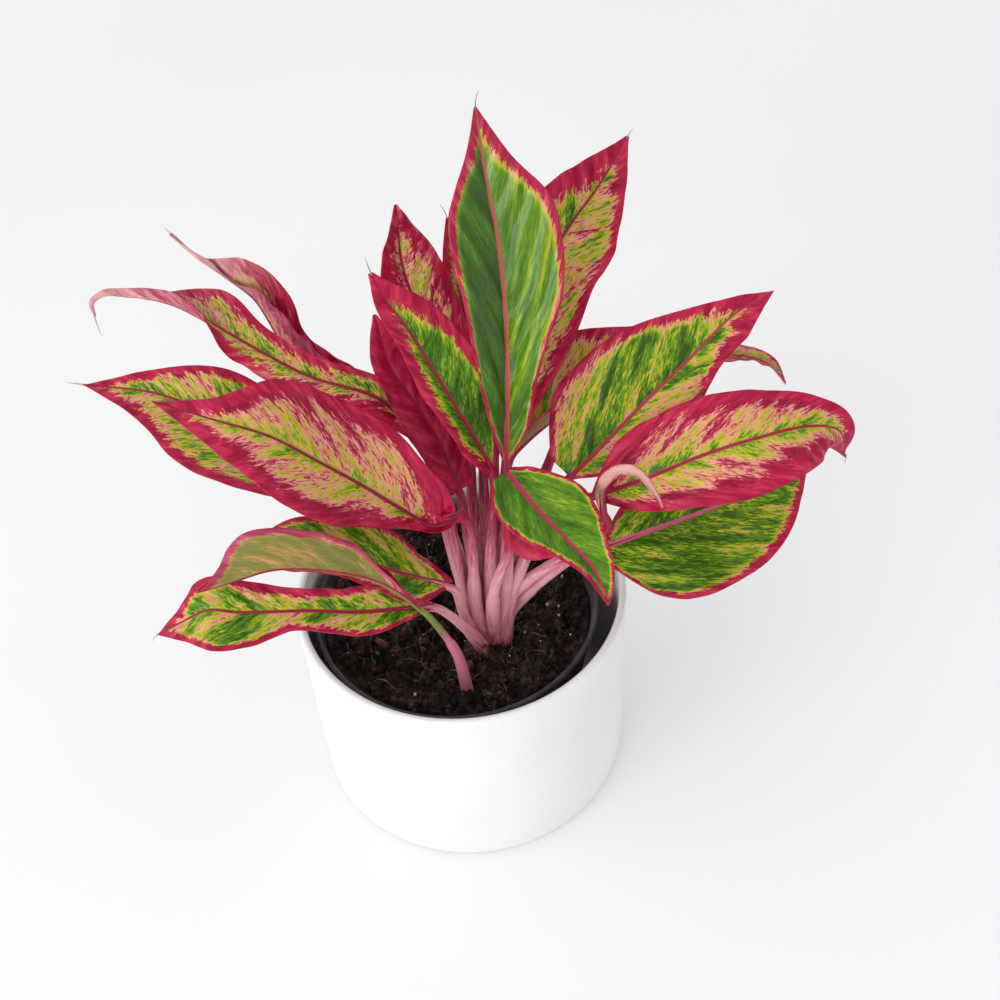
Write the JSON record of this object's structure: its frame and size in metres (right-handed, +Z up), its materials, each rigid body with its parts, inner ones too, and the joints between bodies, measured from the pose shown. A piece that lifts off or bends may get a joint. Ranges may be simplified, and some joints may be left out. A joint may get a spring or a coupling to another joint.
{
  "type": "potted chinese evergreen",
  "caption": "Small aglaonema house plant with red, green and pink variegated leaves, standing in a nursery pot of soil inside a plain white cylindrical pot.",
  "frame": {"origin": "centre of the outer pot's flat underside, where it rests", "axes": "+Z up along the pot's axis, -Y towards the side the plant is shown from, +X to that side's right"},
  "size_m": [0.2896, 0.1616, 0.3072],
  "materials": {
    "outer_pot": "satin white glaze",
    "nursery_pot": "thin black polypropylene, dusty inside",
    "soil": "moist dark peat with fibres, bark and perlite",
    "leaf_blade": "smooth satin leaf, crimson margin with green, yellow and pink mottling",
    "petiole": "smooth pale pink leaf stalk"
  },
  "bodies": {
    "root": {"outer_pot": "outer_pot", "nursery_pot": "nursery_pot", "soil": "soil", "blade_centre": "leaf_blade", "blade_back_right": "leaf_blade", "blade_back_left": "leaf_blade", "blade_left_inner": "leaf_blade", "blade_left_red": "leaf_blade", "blade_back_centre": "leaf_blade", "blade_far_back": "leaf_blade", "blade_far_front": "leaf_blade", "blade_left_low": "leaf_blade", "blade_left_broad": "leaf_blade", "blade_low_upper": "leaf_blade", "blade_low_folded": "leaf_blade", "blade_low_front": "leaf_blade", "blade_front": "leaf_blade", "blade_front_under": "leaf_blade", "blade_right_upper": "leaf_blade", "blade_right_rear": "leaf_blade", "blade_right_broad": "leaf_blade", "blade_right_low": "leaf_blade", "blade_far_curl": "leaf_blade", "blade_strap": "leaf_blade", "petiole_centre": "petiole", "petiole_back_right": "petiole", "petiole_back_left": "petiole", "petiole_left_inner": "petiole", "petiole_left_red": "petiole", "petiole_back_centre": "petiole", "petiole_far_back": "petiole", "petiole_far_front": "petiole", "petiole_left_low": "petiole", "petiole_left_broad": "petiole", "petiole_low_upper": "petiole", "petiole_low_folded": "petiole", "petiole_low_front": "petiole", "petiole_front": "petiole", "petiole_front_under": "petiole", "petiole_right_upper": "petiole", "petiole_right_rear": "petiole", "petiole_right_broad": "petiole", "petiole_right_low": "petiole", "petiole_far_curl": "petiole", "petiole_strap": "petiole"}
  },
  "joints": []
}
